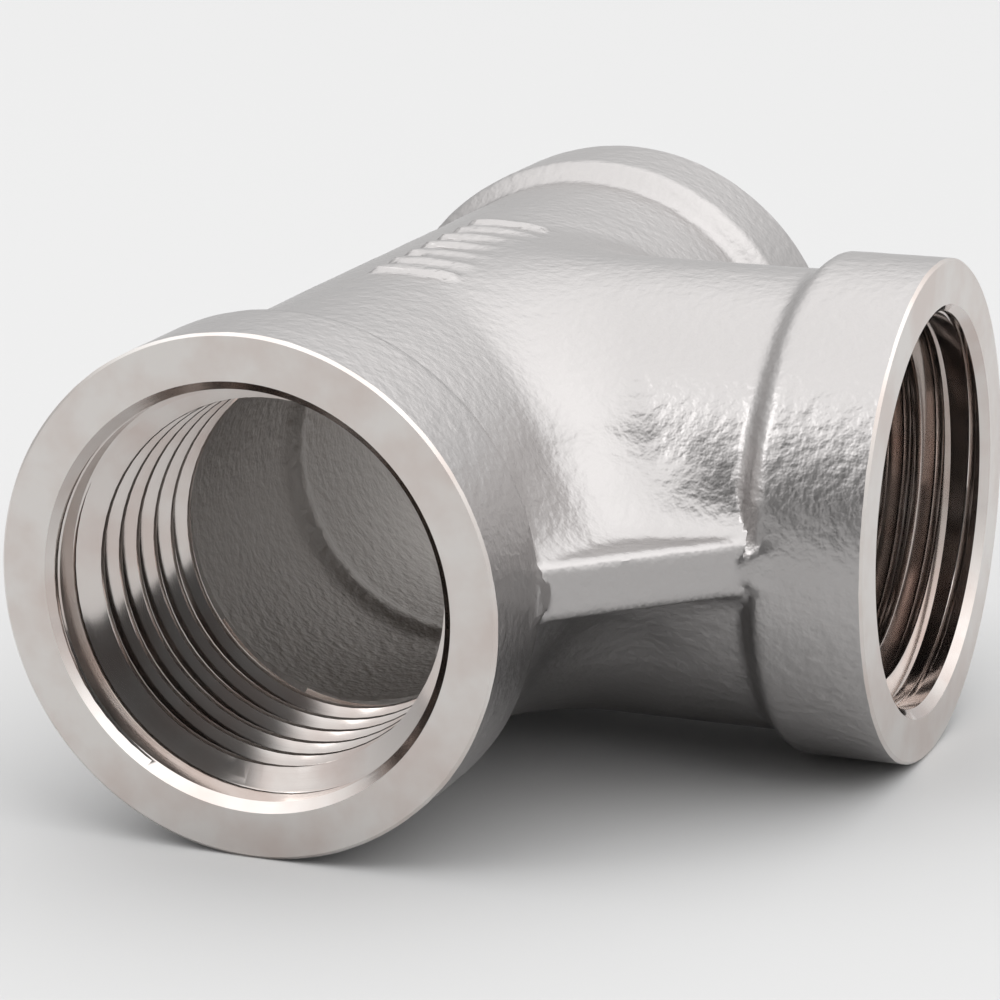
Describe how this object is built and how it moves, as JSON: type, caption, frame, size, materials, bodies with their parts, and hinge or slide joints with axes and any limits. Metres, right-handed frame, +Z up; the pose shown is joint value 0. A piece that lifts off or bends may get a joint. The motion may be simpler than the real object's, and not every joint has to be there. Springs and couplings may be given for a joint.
{
  "type": "threaded pipe tee",
  "caption": "Equal pipe tee cast in one piece, with an internal taper pipe thread in each port and a web in each crotch.",
  "frame": {"origin": "under the middle of the bounding box, on the surface the three collars rest on; the port axes meet 6.875 mm towards -X of it and 13.25 mm above it", "axes": "+Y along the run, from the front port to the back port; +X out of the branch port; +Z up, square to the plane of the three port axes"},
  "size_m": [0.0402, 0.054, 0.0265],
  "materials": {
    "cast_stainless": "matte as-cast outside, machined faces and threads"
  },
  "bodies": {
    "root": {"tee_body": "cast_stainless"}
  },
  "joints": []
}
